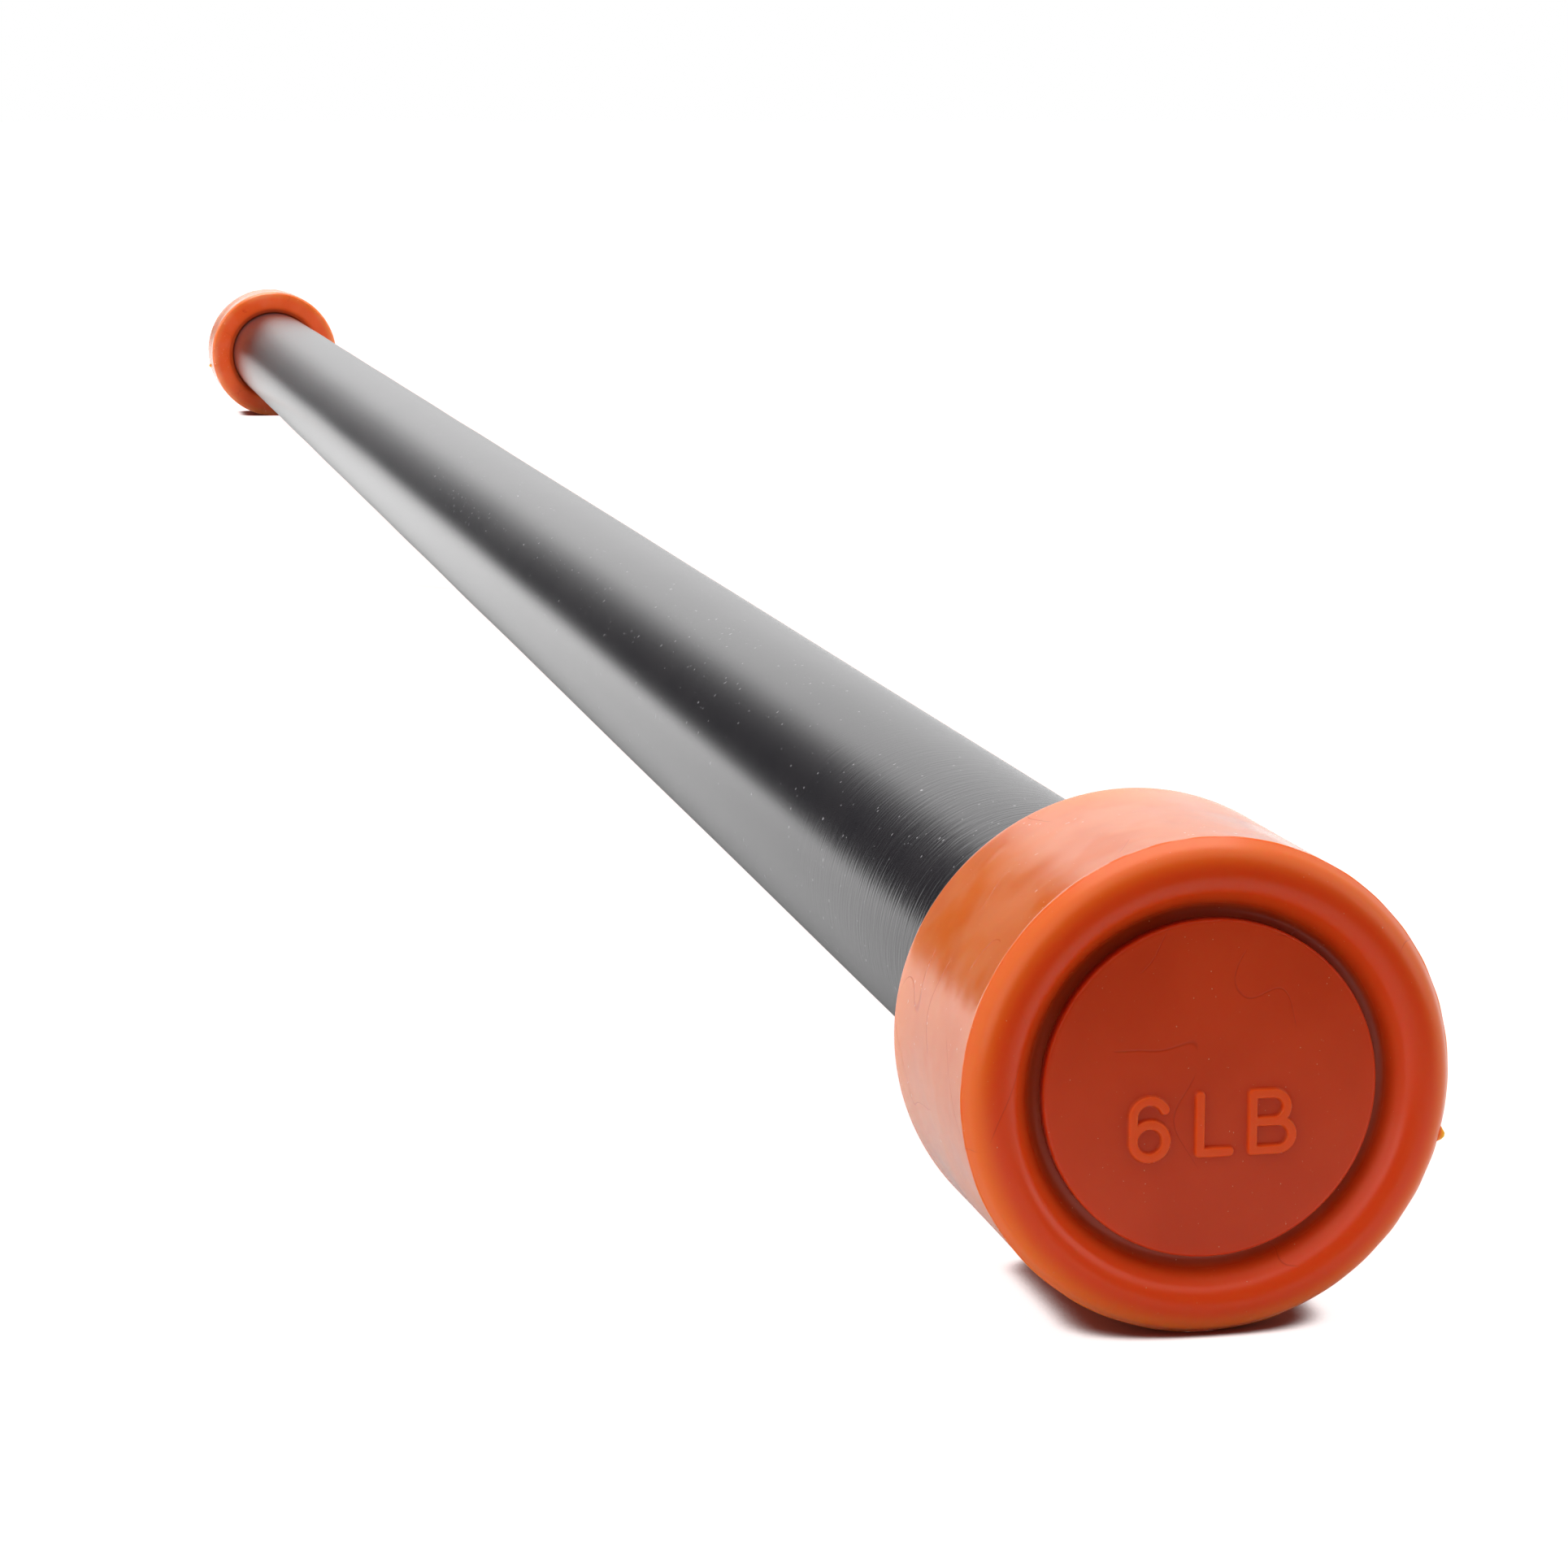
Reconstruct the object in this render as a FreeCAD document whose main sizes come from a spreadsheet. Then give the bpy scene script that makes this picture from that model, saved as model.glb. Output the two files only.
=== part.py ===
import FreeCAD, Part
import math
import os
import Sketcher

# Weighted exercise bar, millimetres. The bar lies along X with its centre at the origin, +Z up.
# A steel tube packed with iron grit is closed by two plugs and covered by a foam sleeve, and a
# soft moulded cap is glued over each end.

FOLDER = "parts"

# Driving dimensions: alias, value, what it is.
SIZES = [
    ("bar_length", 1220.0, "overall length, from rim to rim"),
    ("tube_radius", 12.5, "outside of the steel tube"),
    ("tube_wall", 1.5, "steel tube wall"),
    ("foam_radius", 15.5, "outside of the foam sleeve"),
    ("cap_radius", 23.25, "outside of an end cap"),
    ("cap_depth", 28.8, "cap mouth to the face of the end disc"),
    ("cap_end_wall", 4.0, "thickness behind the end disc"),
    ("parting_depth", 1.26, "parting line behind the disc face"),
    ("shoulder_angle", 25.0, "slope of the shoulder where it leaves the parting line"),
    ("rim_rise", 1.45, "rim crest ahead of the disc face"),
    ("rim_radius", 20.2, "circle of the rim crest"),
    ("rim_inner_round", 2.2, "rounding from the rim crest down to the groove"),
    ("groove_depth", 1.6, "groove floor behind the disc face"),
    ("groove_radius", 16.3, "outer side of the groove floor"),
    ("groove_round", 1.2, "rounding from the rim down to the groove floor"),
    ("disc_radius", 15.85, "end disc"),
    ("disc_edge_round", 0.3, "rounded edge of the end disc"),
    ("mouth_round", 1.0, "rounded outer edge of the cap mouth"),
    ("mouth_lead", 0.6, "lead-in chamfer of the cap bore"),
    ("mark_rise", 0.45, "height of the raised weight mark"),
    ("mark_stroke", 0.9, "width of its strokes"),
    ("mark_drop", 3.2, "middle of the mark below the disc centre"),
    ("flange_thickness", 2.0, "plug flange outside the tube"),
    ("plug_depth", 16.0, "plug inside the tube"),
    ("plug_floor", 2.5, "closed inner end of the plug"),
    ("plug_core_radius", 10.0, "plug between its ribs"),
    ("plug_hollow_radius", 7.8, "hollow of the plug, open to the outside"),
    ("rib_width", 1.2, "plug rib along the axis"),
    ("rib_pitch", 3.4, "rib to rib"),
    ("rib_start", 2.4, "first rib from the plug's inner end"),
]
RIB_COUNT = 4

RIB_ROOT = 0.5   # how far each rib runs into the plug's core, so that they join

# Centre lines of the raised weight mark, in millimetres from its middle, reading left to right.
MARK_HALF_HEIGHT = 2.65
LOOP_RADIUS = 1.57
SIX_X = -5.86
SIX_BELOW_TOP, SIX_BELOW_BASE = 0.2, 0.28
SIX_END_ANGLE = 25.0
L_LEFT, L_RIGHT = -1.08, 1.71
B_STEM, B_UPPER_BEND, B_LOWER_BEND = 3.94, 5.91, 6.37
B_WAIST = 0.04

doc = FreeCAD.newDocument("weighted_bar")
sheet = doc.addObject("Spreadsheet::Sheet", "Sizes")
for row, (alias, size, meaning) in enumerate(SIZES, start=1):
    sheet.set("A%d" % row, meaning)
    sheet.set("B%d" % row, str(size))
    sheet.setAlias("B%d" % row, alias)
doc.recompute()


def number(expression):
    """The value that an expression of sheet cells has now."""
    return float(sheet.evalExpression(expression))


def origin_plane(body, role):
    """One of a body's own origin planes, such as XZ_Plane."""
    return next(feature for feature in body.Origin.OriginFeatures if feature.Role == role)


def body_sketch(body, name, role):
    """An empty sketch on one of the body's origin planes."""
    sketch = body.newObject("Sketcher::SketchObject", name)
    sketch.AttachmentSupport = [(origin_plane(body, role), "")]
    sketch.MapMode = "FlatFace"
    return sketch


def bound(sketch, constraint, name, expression):
    """Adds a dimension to the sketch and binds it to the sheet."""
    index = sketch.addConstraint(constraint)
    sketch.renameConstraint(index, name)
    sketch.setExpression("Constraints." + name, expression)


def pin_point(sketch, edge, end, name, along, across):
    """Holds one end of a sketch edge at a distance along and a radius across, both from the sheet."""
    bound(sketch, Sketcher.Constraint("DistanceX", -1, 1, edge, end, number(along)),
          name + "_x", along)
    if across == "0":
        sketch.addConstraint(Sketcher.Constraint("PointOnObject", edge, end, -1))
    else:
        bound(sketch, Sketcher.Constraint("DistanceY", -1, 1, edge, end, number(across)),
              name + "_r", across)


def half_section(body, name, corners):
    """Closed straight-sided half section in the XZ plane: corners are (name, along X, radius)."""
    sketch = body_sketch(body, name, "XZ_Plane")
    points = [FreeCAD.Vector(number(along), number(across), 0) for _, along, across in corners]
    for start, end in zip(points, points[1:] + points[:1]):
        sketch.addGeometry(Part.LineSegment(start, end))
    for edge, (corner, along, across) in enumerate(corners):
        sketch.addConstraint(
            Sketcher.Constraint("Coincident", (edge - 1) % len(corners), 2, edge, 1))
        pin_point(sketch, edge, 1, corner, along, across)
    return sketch


def revolve(body, sketch, name):
    """Turns a half section about the bar's axis."""
    turned = body.newObject("PartDesign::Revolution", name)
    turned.Profile = sketch
    turned.ReferenceAxis = (sketch, ["H_Axis"])
    turned.Angle = 360.0
    doc.recompute()
    return turned


def ring_edges(feature, along, radius):
    """Names of the round edges at a distance along X with a given radius."""
    names = []
    for index, edge in enumerate(feature.Shape.Edges, start=1):
        circle = edge.Curve
        if not isinstance(circle, Part.Circle):
            continue
        if abs(circle.Center.x - along) < 1e-4 and abs(circle.Radius - radius) < 1e-4:
            names.append("Edge%d" % index)
    return names


def dress(body, kind, name, base, along, radius, size, expression):
    """Fillet or chamfer on the ring edges at one place of a body."""
    feature = body.newObject("PartDesign::" + kind, name)
    feature.Base = (base, ring_edges(base, number(along), number(radius)))
    feature.setExpression(size, expression)
    doc.recompute()
    return feature


def make_body(label):
    """An empty body whose label names its file."""
    body = doc.addObject("PartDesign::Body", label)
    body.Label = label
    return body


def cylinder_body(label, outer, inner, length):
    """A straight rod or sleeve, centred on the origin along X."""
    body = make_body(label)
    sketch = body_sketch(body, label + "_section", "YZ_Plane")
    rings = [("outer", outer)] if inner is None else [("outer", outer), ("inner", inner)]
    centre = FreeCAD.Vector(0, 0, 0)
    for edge, (ring, radius) in enumerate(rings):
        sketch.addGeometry(Part.Circle(centre, FreeCAD.Vector(0, 0, 1), number(radius)))
        sketch.addConstraint(Sketcher.Constraint("Coincident", edge, 3, -1, 1))
        bound(sketch, Sketcher.Constraint("Radius", edge, number(radius)), ring, radius)
    pad = body.newObject("PartDesign::Pad", label + "_pad")
    pad.Profile = sketch
    pad.Midplane = True
    pad.setExpression("Length", length)
    return body


TUBE_LENGTH = "Sizes.bar_length - 2 * (Sizes.rim_rise + Sizes.cap_end_wall + Sizes.flange_thickness)"
TUBE_BORE = "Sizes.tube_radius - Sizes.tube_wall"


def make_core_tube():
    """Steel tube that carries the bar."""
    return cylinder_body("core_tube", "Sizes.tube_radius", TUBE_BORE, TUBE_LENGTH)


def make_ballast_fill():
    """Packed iron grit that fills the tube between the two plugs."""
    return cylinder_body("ballast_fill", TUBE_BORE, None,
                         TUBE_LENGTH + " - 2 * Sizes.plug_depth")


def make_foam_sleeve():
    """Foam grip over the whole tube; its ends sit inside the caps."""
    return cylinder_body("foam_sleeve", "Sizes.foam_radius", "Sizes.tube_radius", TUBE_LENGTH)


def make_tube_plug(label):
    """Ribbed plug: a cup that opens outwards, with a flange on the end of the tube.

    Its own x is 0 at the inner end and grows towards the end of the bar.
    """
    body = make_body(label)
    whole = "Sizes.plug_depth + Sizes.flange_thickness"
    section = half_section(body, label + "_section", [
        ("floor_axis", "0", "0"),
        ("floor_edge", "0", "Sizes.plug_core_radius"),
        ("neck", "Sizes.plug_depth", "Sizes.plug_core_radius"),
        ("flange_back", "Sizes.plug_depth", "Sizes.tube_radius"),
        ("flange_front", whole, "Sizes.tube_radius"),
        ("hollow_mouth", whole, "Sizes.plug_hollow_radius"),
        ("hollow_end", "Sizes.plug_floor", "Sizes.plug_hollow_radius"),
        ("hollow_axis", "Sizes.plug_floor", "0"),
    ])
    revolve(body, section, label + "_turned")
    rib_root = "Sizes.plug_core_radius - %g" % RIB_ROOT
    rib_section = half_section(body, label + "_rib_section", [
        ("rib_inner_back", "Sizes.rib_start", rib_root),
        ("rib_outer_back", "Sizes.rib_start", TUBE_BORE),
        ("rib_outer_front", "Sizes.rib_start + Sizes.rib_width", TUBE_BORE),
        ("rib_inner_front", "Sizes.rib_start + Sizes.rib_width", rib_root),
    ])
    rib = revolve(body, rib_section, label + "_rib")
    ribs = body.newObject("PartDesign::LinearPattern", label + "_ribs")
    ribs.Originals = [rib]
    ribs.Direction = (rib_section, ["H_Axis"])
    ribs.Occurrences = RIB_COUNT
    ribs.setExpression("Length", "%d * Sizes.rib_pitch" % (RIB_COUNT - 1))
    body.Tip = ribs
    return body


def arc_between(centre, radius, start_angle, end_angle):
    """Circular arc in the sketch plane, anticlockwise from start to end, angles in radians."""
    circle = Part.Circle(FreeCAD.Vector(centre[0], centre[1], 0), FreeCAD.Vector(0, 0, 1), radius)
    return Part.ArcOfCircle(circle, start_angle, end_angle)


def cap_section(body, name):
    """Half section of an end cap, x from the mouth towards the end of the bar.

    From the mouth the side runs straight to the parting line. A short straight shoulder and an
    arc lead up to the rim crest, and an arc, a straight wall and a reversed arc lead down into
    the groove around the end disc. The arcs are tangent to what they join, and at the crest and
    the groove floor they run square to the axis.
    """
    parting_x = "Sizes.cap_depth - Sizes.parting_depth"
    crest_x = "Sizes.cap_depth + Sizes.rim_rise"
    floor_x = "Sizes.cap_depth - Sizes.groove_depth"
    seat_x = "Sizes.cap_depth - Sizes.cap_end_wall"

    # Shoulder: its length and the radius of the arc that meets the crest square.
    slope = math.radians(number("Sizes.shoulder_angle"))
    rise = number(crest_x) - number(parting_x)
    drop = number("Sizes.cap_radius - Sizes.rim_radius")
    scale = math.cos(slope) ** 2 - math.sin(slope) * (1 - math.sin(slope))
    flat = (rise * math.cos(slope) - drop * (1 - math.sin(slope))) / scale
    crest_round = (drop * math.cos(slope) - rise * math.sin(slope)) / scale
    bend = (number(parting_x) + flat * math.cos(slope),
            number("Sizes.cap_radius") - flat * math.sin(slope))

    # Inner wall: the tangent line between the crest's arc and the groove's arc.
    inner_round = number("Sizes.rim_inner_round")
    foot_round = number("Sizes.groove_round")
    height = number(crest_x) - number(floor_x)
    width = number("Sizes.rim_radius - Sizes.groove_radius")
    rounds = inner_round + foot_round
    wall = math.sqrt(width ** 2 + (rounds - height) ** 2 - rounds ** 2)
    lean = math.atan2(rounds, wall) - math.atan2(rounds - height, width)
    crest_centre = (number(crest_x) - inner_round, number("Sizes.rim_radius"))
    foot_centre = (number(floor_x) + foot_round, number("Sizes.groove_radius"))
    wall_top = (crest_centre[0] + inner_round * math.cos(lean),
                crest_centre[1] - inner_round * math.sin(lean))
    wall_foot = (foot_centre[0] - foot_round * math.cos(lean),
                 foot_centre[1] + foot_round * math.sin(lean))

    sketch = body_sketch(body, name, "XZ_Plane")

    def line(start, end):
        return sketch.addGeometry(Part.LineSegment(FreeCAD.Vector(*start, 0),
                                                   FreeCAD.Vector(*end, 0)))

    cap_r = number("Sizes.cap_radius")
    bore_r = number("Sizes.foam_radius")
    disc_r = number("Sizes.disc_radius")
    disc_x = number("Sizes.cap_depth")
    mouth = line((0, bore_r), (0, cap_r))
    side = line((0, cap_r), (number(parting_x), cap_r))
    shoulder = line((number(parting_x), cap_r), bend)
    crest_outer = sketch.addGeometry(arc_between(
        (number(crest_x) - crest_round, number("Sizes.rim_radius")), crest_round,
        0, math.pi / 2 - slope))
    crest_inner = sketch.addGeometry(arc_between(crest_centre, inner_round, -lean, 0))
    inner_wall = line(wall_top, wall_foot)
    foot = sketch.addGeometry(arc_between(foot_centre, foot_round, math.pi - lean, math.pi))
    floor = line((number(floor_x), number("Sizes.groove_radius")), (number(floor_x), disc_r))
    disc_side = line((number(floor_x), disc_r), (disc_x, disc_r))
    disc_face = line((disc_x, disc_r), (disc_x, 0))
    axis = line((disc_x, 0), (number(seat_x), 0))
    seat = line((number(seat_x), 0), (number(seat_x), bore_r))
    bore = line((number(seat_x), bore_r), (0, bore_r))

    # Arcs run anticlockwise: the crest's outer arc starts at the crest, and the inner one ends there.
    joins = [(mouth, 2, side, 1), (side, 2, shoulder, 1), (crest_outer, 1, crest_inner, 2),
             (foot, 2, floor, 1), (floor, 2, disc_side, 1), (disc_side, 2, disc_face, 1),
             (disc_face, 2, axis, 1), (axis, 2, seat, 1), (seat, 2, bore, 1), (bore, 2, mouth, 1)]
    for join in joins:
        sketch.addConstraint(Sketcher.Constraint("Coincident", *join))
    for join in [(shoulder, 2, crest_outer, 2), (crest_inner, 1, inner_wall, 1),
                 (inner_wall, 2, foot, 1)]:
        sketch.addConstraint(Sketcher.Constraint("Tangent", *join))
    for arc, end in [(crest_outer, 1), (crest_inner, 2), (foot, 2)]:
        sketch.addConstraint(Sketcher.Constraint("Horizontal", arc, 3, arc, end))

    pins = [(mouth, 1, "bore_mouth", "0", "Sizes.foam_radius"),
            (side, 1, "mouth_edge", "0", "Sizes.cap_radius"),
            (shoulder, 1, "parting_line", parting_x, "Sizes.cap_radius"),
            (crest_outer, 1, "rim_crest", crest_x, "Sizes.rim_radius"),
            (floor, 1, "groove_floor", floor_x, "Sizes.groove_radius"),
            (disc_side, 1, "disc_foot", floor_x, "Sizes.disc_radius"),
            (disc_face, 1, "disc_edge", "Sizes.cap_depth", "Sizes.disc_radius"),
            (axis, 1, "disc_middle", "Sizes.cap_depth", "0"),
            (seat, 1, "seat_middle", seat_x, "0"),
            (bore, 1, "seat_edge", seat_x, "Sizes.foam_radius")]
    for pin in pins:
        pin_point(sketch, *pin)
    bound(sketch, Sketcher.Constraint("Radius", crest_inner, inner_round),
          "rim_inner_round", "Sizes.rim_inner_round")
    bound(sketch, Sketcher.Constraint("Radius", foot, foot_round),
          "groove_round", "Sizes.groove_round")
    bound(sketch, Sketcher.Constraint("Angle", side, 2, shoulder, 1, math.pi - slope),
          "shoulder_angle", "180 - Sizes.shoulder_angle")
    return sketch


def mark_lines():
    """Centre lines of the weight mark, one list of edges for each stroke, in its own plane."""
    top, base = MARK_HALF_HEIGHT, -MARK_HALF_HEIGHT

    def line(start, end):
        return Part.LineSegment(FreeCAD.Vector(*start, 0), FreeCAD.Vector(*end, 0))

    def bowl(bend, upper, lower):
        """One bowl of the B: out along the top, round, and back."""
        middle, radius = (upper + lower) / 2, (upper - lower) / 2
        return [line((B_STEM, upper), (bend, upper)),
                arc_between((bend, middle), radius, -math.pi / 2, math.pi / 2),
                line((bend, lower), (B_STEM, lower))]

    loop_y = base - SIX_BELOW_BASE + LOOP_RADIUS
    hook_y = top - SIX_BELOW_TOP - LOOP_RADIUS
    six_left = SIX_X - LOOP_RADIUS
    six_hook = [arc_between((SIX_X, hook_y), LOOP_RADIUS, math.radians(SIX_END_ANGLE), math.pi),
                line((six_left, hook_y), (six_left, loop_y)),
                arc_between((SIX_X, loop_y), LOOP_RADIUS, math.pi, 2 * math.pi)]
    six_loop = [arc_between((SIX_X, loop_y), LOOP_RADIUS, 0, math.pi)]
    ell = [line((L_LEFT, top), (L_LEFT, base)), line((L_LEFT, base), (L_RIGHT, base))]
    stem = [line((B_STEM, base), (B_STEM, top)), line((B_STEM, top), (B_UPPER_BEND, top))]
    return {"six_hook": six_hook, "six_loop": six_loop, "ell": ell, "stem": stem,
            "upper_bowl": bowl(B_UPPER_BEND, top, B_WAIST),
            "lower_bowl": bowl(B_LOWER_BEND, B_WAIST, base)}


def make_mark(owner):
    """Raised strokes of the weight mark: each centre line is widened to a band and extruded."""
    strokes = []
    for name, edges in mark_lines().items():
        centre_line = doc.addObject("Sketcher::SketchObject", "%s_%s_line" % (owner, name))
        centre_line.addGeometry(edges)
        for edge in range(len(edges) - 1):
            ends = [(a, b) for a in (1, 2) for b in (1, 2)
                    if centre_line.getPoint(edge, a).distanceToPoint(
                        centre_line.getPoint(edge + 1, b)) < 1e-6]
            centre_line.addConstraint(
                Sketcher.Constraint("Coincident", edge, ends[0][0], edge + 1, ends[0][1]))
        # The sketch's own x runs along Y and its own y along Z, on the face of the end disc.
        turn = FreeCAD.Rotation(FreeCAD.Vector(0, 1, 0), FreeCAD.Vector(0, 0, 1),
                                FreeCAD.Vector(1, 0, 0), "ZXY")
        centre_line.Placement = FreeCAD.Placement(FreeCAD.Vector(0, 0, 0), turn)
        centre_line.setExpression("Placement.Base.x", "Sizes.cap_depth - Sizes.mark_rise")
        centre_line.setExpression("Placement.Base.z", "-Sizes.mark_drop")
        band = doc.addObject("Part::Offset2D", "%s_%s_band" % (owner, name))
        band.Source = centre_line
        band.setExpression("Value", "Sizes.mark_stroke / 2")
        band.Mode = "Pipe"
        band.Join = "Arc"
        band.Fill = True
        stroke = doc.addObject("Part::Extrusion", "%s_%s_stroke" % (owner, name))
        stroke.Base = band
        stroke.DirMode = "Custom"
        stroke.Dir = FreeCAD.Vector(1, 0, 0)
        stroke.Solid = True
        stroke.setExpression("LengthFwd", "2 * Sizes.mark_rise")
        strokes.append(stroke)
    return strokes


def make_end_cap(label):
    """Soft cap: a cup over the end of the foam, with a rounded rim and a raised end disc."""
    body = make_body(label + "_cup")
    section = cap_section(body, label + "_section")
    cup = revolve(body, section, label + "_turned")
    rounded = dress(body, "Fillet", label + "_mouth_round", cup,
                    "0", "Sizes.cap_radius", "Radius", "Sizes.mouth_round")
    lead = dress(body, "Chamfer", label + "_mouth_lead", rounded,
                 "0", "Sizes.foam_radius", "Size", "Sizes.mouth_lead")
    dress(body, "Fillet", label + "_disc_round", lead,
          "Sizes.cap_depth", "Sizes.disc_radius", "Radius", "Sizes.disc_edge_round")
    cap = doc.addObject("Part::MultiFuse", label)
    cap.Label = label
    cap.Shapes = [body] + make_mark(label)
    return cap


def place_end(piece, side, start):
    """Puts an end piece at its distance from the middle: side +1 is the right end, -1 the left."""
    turn = FreeCAD.Rotation(FreeCAD.Vector(0, 0, 1), 0 if side > 0 else 180)
    piece.Placement = FreeCAD.Placement(FreeCAD.Vector(0, 0, 0), turn)
    piece.setExpression("Placement.Base.x", "%d * (%s)" % (side, start))


CAP_START = "Sizes.bar_length / 2 - Sizes.rim_rise - Sizes.cap_depth"
PLUG_START = "(" + TUBE_LENGTH + ") / 2 - Sizes.plug_depth"

pieces = [make_core_tube(), make_ballast_fill(), make_foam_sleeve()]
for side_name, side in (("right", 1), ("left", -1)):
    plug = make_tube_plug("tube_plug_" + side_name)
    place_end(plug, side, PLUG_START)
    end_cap = make_end_cap("end_cap_" + side_name)
    place_end(end_cap, side, CAP_START)
    pieces += [plug, end_cap]
doc.recompute()

for item in doc.Objects:
    if "Invalid" in item.State or "Error" in item.State:
        raise RuntimeError("%s failed: %s" % (item.Name, item.State))

os.makedirs(FOLDER, exist_ok=True)
for piece in pieces:
    shape = piece.Shape
    if shape.isNull() or not shape.isValid() or len(shape.Solids) != 1:
        raise RuntimeError(piece.Label + " is not one valid solid")
    shape.exportStep(os.path.join(FOLDER, piece.Label + ".step"))
    box = shape.optimalBoundingBox()
    print("%-16s %10.1f mm3   x %8.2f to %8.2f   radius %.2f"
          % (piece.Label, shape.Volume, box.XMin, box.XMax, box.ZMax))
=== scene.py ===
import math

import bmesh
import bpy
import numpy as np
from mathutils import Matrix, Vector


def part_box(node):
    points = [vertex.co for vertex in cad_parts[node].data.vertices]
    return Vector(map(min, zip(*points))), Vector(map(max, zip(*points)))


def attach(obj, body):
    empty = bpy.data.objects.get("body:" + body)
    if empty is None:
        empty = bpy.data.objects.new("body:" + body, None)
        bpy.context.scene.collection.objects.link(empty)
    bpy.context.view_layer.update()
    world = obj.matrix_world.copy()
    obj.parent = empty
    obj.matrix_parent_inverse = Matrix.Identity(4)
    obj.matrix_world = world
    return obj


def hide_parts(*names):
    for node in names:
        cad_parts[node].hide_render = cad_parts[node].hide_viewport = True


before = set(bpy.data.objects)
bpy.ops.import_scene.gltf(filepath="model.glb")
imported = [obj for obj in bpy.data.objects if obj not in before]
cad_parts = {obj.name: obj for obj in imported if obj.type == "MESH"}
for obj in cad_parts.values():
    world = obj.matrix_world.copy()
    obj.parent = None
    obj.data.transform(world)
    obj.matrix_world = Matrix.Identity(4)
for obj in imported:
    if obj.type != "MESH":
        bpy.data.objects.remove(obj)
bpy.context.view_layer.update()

# ---------------------------------------------------------------------------------------------
# Sizes, in metres. The large ones come from the frame; the small ones are the cap's moulding.
# ---------------------------------------------------------------------------------------------

MM = 0.001
cap_low, cap_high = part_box("end_cap_right")
foam_low, foam_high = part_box("foam_sleeve")
CAP_R = cap_high.z
# Half the height of the frame's faceted foam, which is 0.04 mm under its real radius.
FOAM_R = foam_high.z
FOAM_END = foam_high.x
# A faceted tube may have no corner at its top, so its radius is the larger of the two.
TUBE_R = max(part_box("core_tube")[1].yz)
# Keeps the facets of the foam's bore clear of the facets of the tube.
FOAM_BORE_GAP = 0.01 * MM
FLOOR_Z = -CAP_R

CREST_X = cap_high.x
DISC_X = CREST_X - 1.45 * MM
MOUTH_X = cap_low.x
PARTING_X = DISC_X - 1.26 * MM
GROOVE_X = DISC_X - 1.6 * MM
SEAT_X = DISC_X - 4.0 * MM
CREST_R = 20.2 * MM
GROOVE_R = 16.3 * MM
DISC_R = 15.85 * MM
SHOULDER_SLOPE = math.radians(25)
CREST_ROUND = 2.2 * MM
GROOVE_ROUND = 1.2 * MM
DISC_ROUND = 0.3 * MM
MOUTH_ROUND = 1.0 * MM
# Rings on the flat of the disc, by their distance in from its edge.
DISC_RINGS = 0.9 * MM, 0.6 * MM, 0.45 * MM
# Rings close to the parting line, which keep its edge crisp.
PARTING_STEP, PARTING_DROP, PARTING_RUN = 0.12 * MM, 0.056 * MM, 0.5 * MM
MOUTH_LEAD = 0.6 * MM
CAP_UNEVEN = 0.03 * MM
CAP_FLARE = 0.12 * MM
FOAM_UNEVEN = 0.03 * MM

CAP_SEGMENTS = 480
FOAM_SEGMENTS = 160
FOAM_RINGS = 330


# ---------------------------------------------------------------------------------------------
# Mesh helpers
# ---------------------------------------------------------------------------------------------

def waves(seed, count, low, high):
    """Random but repeatable waves: (how many round the bar, how many along it per metre, phase)."""
    draw = np.random.default_rng(seed)
    return [(int(draw.integers(low, high + 1)), draw.uniform(-60, 60), draw.uniform(0, 2 * math.pi))
            for _ in range(count)]


def ripple(x, angle, terms):
    """A smooth uneven field over the bar, about -1 to 1."""
    total = sum(np.sin(turns * angle + along * x + phase) for turns, along, phase in terms)
    return total / math.sqrt(len(terms))


def arc_points(centre, radius, start, end, count):
    """Points along an arc in the (x, radius) plane, both ends included, angles in radians."""
    angles = np.linspace(start, end, count)
    return [(centre[0] + radius * math.cos(a), centre[1] + radius * math.sin(a)) for a in angles]


def line_points(start, end, count):
    """Points along a line in the (x, radius) plane, both ends included."""
    return [(start[0] + (end[0] - start[0]) * t, start[1] + (end[1] - start[1]) * t)
            for t in np.linspace(0, 1, count)]


def without_repeats(points):
    """The same outline with each point that repeats its neighbour taken out."""
    kept = [points[0]]
    for point in points[1:]:
        if math.dist(point, kept[-1]) > 1e-7:
            kept.append(point)
    return kept


def rings_to_mesh(name, x, radius, closed):
    """Lathe mesh from arrays of x and radius: a row for each ring, a column for each segment."""
    rows, segments = x.shape
    angle = np.linspace(0, 2 * math.pi, segments, endpoint=False)[None, :]
    points = np.stack([x, radius * np.cos(angle), radius * np.sin(angle)], axis=-1).reshape(-1, 3)
    here = np.arange(rows * segments).reshape(rows, segments)
    ahead = np.roll(here, -1, axis=0)
    if not closed:
        here, ahead = here[:-1], ahead[:-1]
    quads = np.stack([here, np.roll(here, -1, axis=1), np.roll(ahead, -1, axis=1), ahead],
                     axis=-1).reshape(-1, 4)
    mesh = bpy.data.meshes.new(name)
    mesh.from_pydata(points.tolist(), [], quads.tolist())
    return mesh


def finish_mesh(name, mesh, material, smooth_angle):
    """Makes the object: outward normals, smooth shading except over sharp edges."""
    work = bmesh.new()
    work.from_mesh(mesh)
    bmesh.ops.recalc_face_normals(work, faces=work.faces)
    open_edges = sum(1 for edge in work.edges if len(edge.link_faces) != 2)
    if open_edges:
        raise RuntimeError("%s has %d open edges" % (name, open_edges))
    for face in work.faces:
        face.smooth = True
    for edge in work.edges:
        edge.smooth = edge.calc_face_angle(0) < smooth_angle
    work.to_mesh(mesh)
    work.free()
    piece = bpy.data.objects.new(name, mesh)
    bpy.context.scene.collection.objects.link(piece)
    piece.data.materials.append(material)
    return piece


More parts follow.
